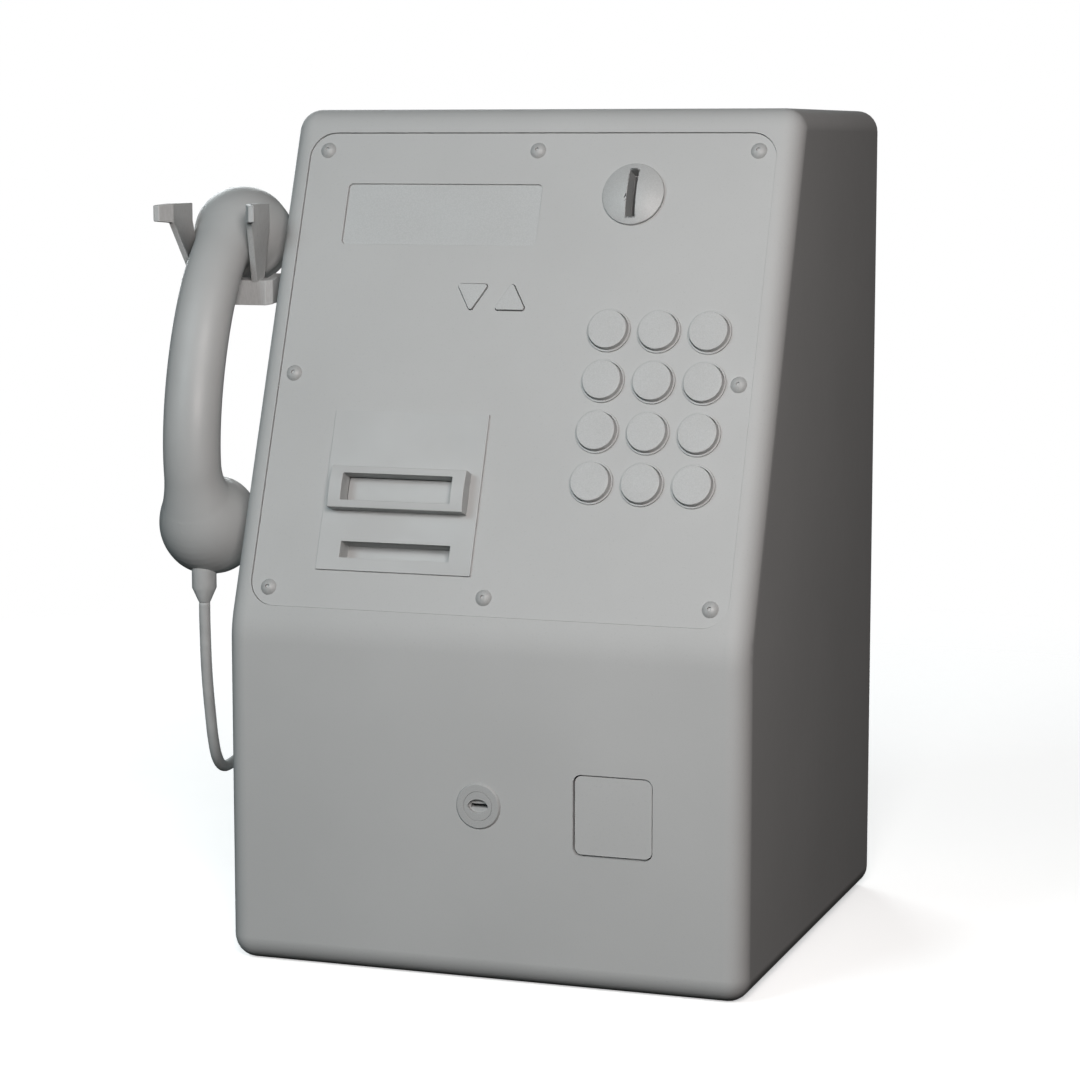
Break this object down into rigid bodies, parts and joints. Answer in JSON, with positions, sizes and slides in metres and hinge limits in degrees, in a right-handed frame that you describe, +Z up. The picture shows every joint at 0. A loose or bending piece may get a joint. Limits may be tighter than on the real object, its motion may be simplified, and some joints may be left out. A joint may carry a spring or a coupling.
{
  "type": "payphone",
  "caption": "Coin and card payphone with a sloped control panel, keypad, coin return, and a handset on a side hook.",
  "frame": {"origin": "centre of the housing's base, where it stands", "axes": "+Z up, the front faces -Y, +Y goes to the back plate, the handset is at -X"},
  "size_m": [0.317, 0.249, 0.411],
  "materials": {
    "painted_steel": "satin grey stove enamel, fine texture",
    "panel_paint": "satin light grey paint",
    "bezel_plastic": "satin light grey paint",
    "flap_paint": "satin grey paint",
    "display_glass": "clear window",
    "key_metal": "satin",
    "collar_plastic": "matte",
    "handset_plastic": "satin moulded plastic",
    "gland_rubber": "matte",
    "cord_sheath": "matte",
    "seal_rubber": "matte",
    "circuit_board": "coated board",
    "inner_plastic": "matte",
    "hook_metal": "satin cast metal",
    "bare_steel": "satin"
  },
  "bodies": {
    "housing": {"housing_shell": "painted_steel", "back_plate": "painted_steel", "back_screws": "bare_steel", "cable_grommet": "seal_rubber", "front_panel": "panel_paint", "panel_gasket": "seal_rubber", "panel_screws": "bare_steel", "display_window": "display_glass", "display_module": "inner_plastic", "key_collars": "collar_plastic", "keypad_mat": "seal_rubber", "keypad_board": "circuit_board", "coin_entry": "bare_steel", "coin_chute": "bare_steel", "coin_validator": "inner_plastic", "cash_box": "bare_steel", "coin_return_cup": "bare_steel", "flap_pin": "bare_steel", "lock_body": "bare_steel", "lock_nut": "bare_steel", "card_plate": "bezel_plastic", "card_bezel": "bezel_plastic", "card_reader": "inner_plastic", "card_tray": "inner_plastic", "main_board": "circuit_board", "hook_bushing": "inner_plastic", "hook_spring": "bare_steel", "hook_switch": "inner_plastic", "cord": "cord_sheath", "cord_gland": "bare_steel", "gland_nut": "bare_steel"},
    "key_1": {"key_1": "key_metal"},
    "key_2": {"key_2": "key_metal"},
    "key_3": {"key_3": "key_metal"},
    "key_4": {"key_4": "key_metal"},
    "key_5": {"key_5": "key_metal"},
    "key_6": {"key_6": "key_metal"},
    "key_7": {"key_7": "key_metal"},
    "key_8": {"key_8": "key_metal"},
    "key_9": {"key_9": "key_metal"},
    "key_star": {"key_star": "key_metal"},
    "key_0": {"key_0": "key_metal"},
    "key_hash": {"key_hash": "key_metal"},
    "volume_down": {"volume_down_button": "key_metal"},
    "volume_up": {"volume_up_button": "key_metal"},
    "coin_flap": {"coin_return_flap": "flap_paint"},
    "lock": {"lock_plug": "bare_steel", "lock_cam": "bare_steel"},
    "card_shutter": {"card_shutter": "inner_plastic"},
    "hook": {"hook_fork": "hook_metal", "hook_shaft": "bare_steel", "hook_cam": "bare_steel"},
    "handset": {"handset_body": "handset_plastic", "ear_cap": "handset_plastic", "mouth_cap": "handset_plastic", "earpiece_capsule": "bare_steel", "microphone_capsule": "bare_steel", "handset_gland": "gland_rubber"}
  },
  "joints": [
    {"name": "key_1_press", "type": "slide", "parent": "housing", "child": "key_1", "axis": [0, 0.9358, -0.3527], "range_m": [0, 0.0015], "stiffness_N_per_m": 400, "springref_m": -0.0012},
    {"name": "key_2_press", "type": "slide", "parent": "housing", "child": "key_2", "axis": [0, 0.9358, -0.3527], "range_m": [0, 0.0015], "stiffness_N_per_m": 400, "springref_m": -0.0012},
    {"name": "key_3_press", "type": "slide", "parent": "housing", "child": "key_3", "axis": [0, 0.9358, -0.3527], "range_m": [0, 0.0015], "stiffness_N_per_m": 400, "springref_m": -0.0012},
    {"name": "key_4_press", "type": "slide", "parent": "housing", "child": "key_4", "axis": [0, 0.9358, -0.3527], "range_m": [0, 0.0015], "stiffness_N_per_m": 400, "springref_m": -0.0012},
    {"name": "key_5_press", "type": "slide", "parent": "housing", "child": "key_5", "axis": [0, 0.9358, -0.3527], "range_m": [0, 0.0015], "stiffness_N_per_m": 400, "springref_m": -0.0012},
    {"name": "key_6_press", "type": "slide", "parent": "housing", "child": "key_6", "axis": [0, 0.9358, -0.3527], "range_m": [0, 0.0015], "stiffness_N_per_m": 400, "springref_m": -0.0012},
    {"name": "key_7_press", "type": "slide", "parent": "housing", "child": "key_7", "axis": [0, 0.9358, -0.3527], "range_m": [0, 0.0015], "stiffness_N_per_m": 400, "springref_m": -0.0012},
    {"name": "key_8_press", "type": "slide", "parent": "housing", "child": "key_8", "axis": [0, 0.9358, -0.3527], "range_m": [0, 0.0015], "stiffness_N_per_m": 400, "springref_m": -0.0012},
    {"name": "key_9_press", "type": "slide", "parent": "housing", "child": "key_9", "axis": [0, 0.9358, -0.3527], "range_m": [0, 0.0015], "stiffness_N_per_m": 400, "springref_m": -0.0012},
    {"name": "key_star_press", "type": "slide", "parent": "housing", "child": "key_star", "axis": [0, 0.9358, -0.3527], "range_m": [0, 0.0015], "stiffness_N_per_m": 400, "springref_m": -0.0012},
    {"name": "key_0_press", "type": "slide", "parent": "housing", "child": "key_0", "axis": [0, 0.9358, -0.3527], "range_m": [0, 0.0015], "stiffness_N_per_m": 400, "springref_m": -0.0012},
    {"name": "key_hash_press", "type": "slide", "parent": "housing", "child": "key_hash", "axis": [0, 0.9358, -0.3527], "range_m": [0, 0.0015], "stiffness_N_per_m": 400, "springref_m": -0.0012},
    {"name": "volume_down_press", "type": "slide", "parent": "housing", "child": "volume_down", "axis": [0, 0.9358, -0.3527], "range_m": [0, 0.001], "stiffness_N_per_m": 400, "springref_m": -0.0012},
    {"name": "volume_up_press", "type": "slide", "parent": "housing", "child": "volume_up", "axis": [0, 0.9358, -0.3527], "range_m": [0, 0.001], "stiffness_N_per_m": 400, "springref_m": -0.0012},
    {"name": "coin_flap_swing", "type": "hinge", "parent": "housing", "child": "coin_flap", "pos_m": [0.0661, -0.1185, 0.1005], "axis": [1, 0, 0], "range_deg": [0, 60]},
    {"name": "lock_turn", "type": "hinge", "parent": "housing", "child": "lock", "pos_m": [0, -0.124, 0.0859], "axis": [0, -1, 0], "range_deg": [-90, 0]},
    {"name": "card_shutter_swing", "type": "hinge", "parent": "housing", "child": "card_shutter", "pos_m": [-0.0475, -0.09367, 0.23247], "axis": [1, 0, 0], "range_deg": [0, 60], "stiffness_Nm_per_rad": 0.01, "springref_deg": -17.19},
    {"name": "handset_lift", "type": "slide", "parent": "housing", "child": "handset", "axis": [0, 0, 1], "range_m": [0, 0.045], "deforming": ["cord"]},
    {"name": "hook_rise", "type": "hinge", "parent": "housing", "child": "hook", "pos_m": [-0.13, -0.021, 0.32], "axis": [-1, 0, 0], "range_deg": [0, 7]}
  ],
  "couplings": [
    {"joint": "hook_rise", "follows": "handset_lift", "rad_per_m": 2.7147}
  ]
}
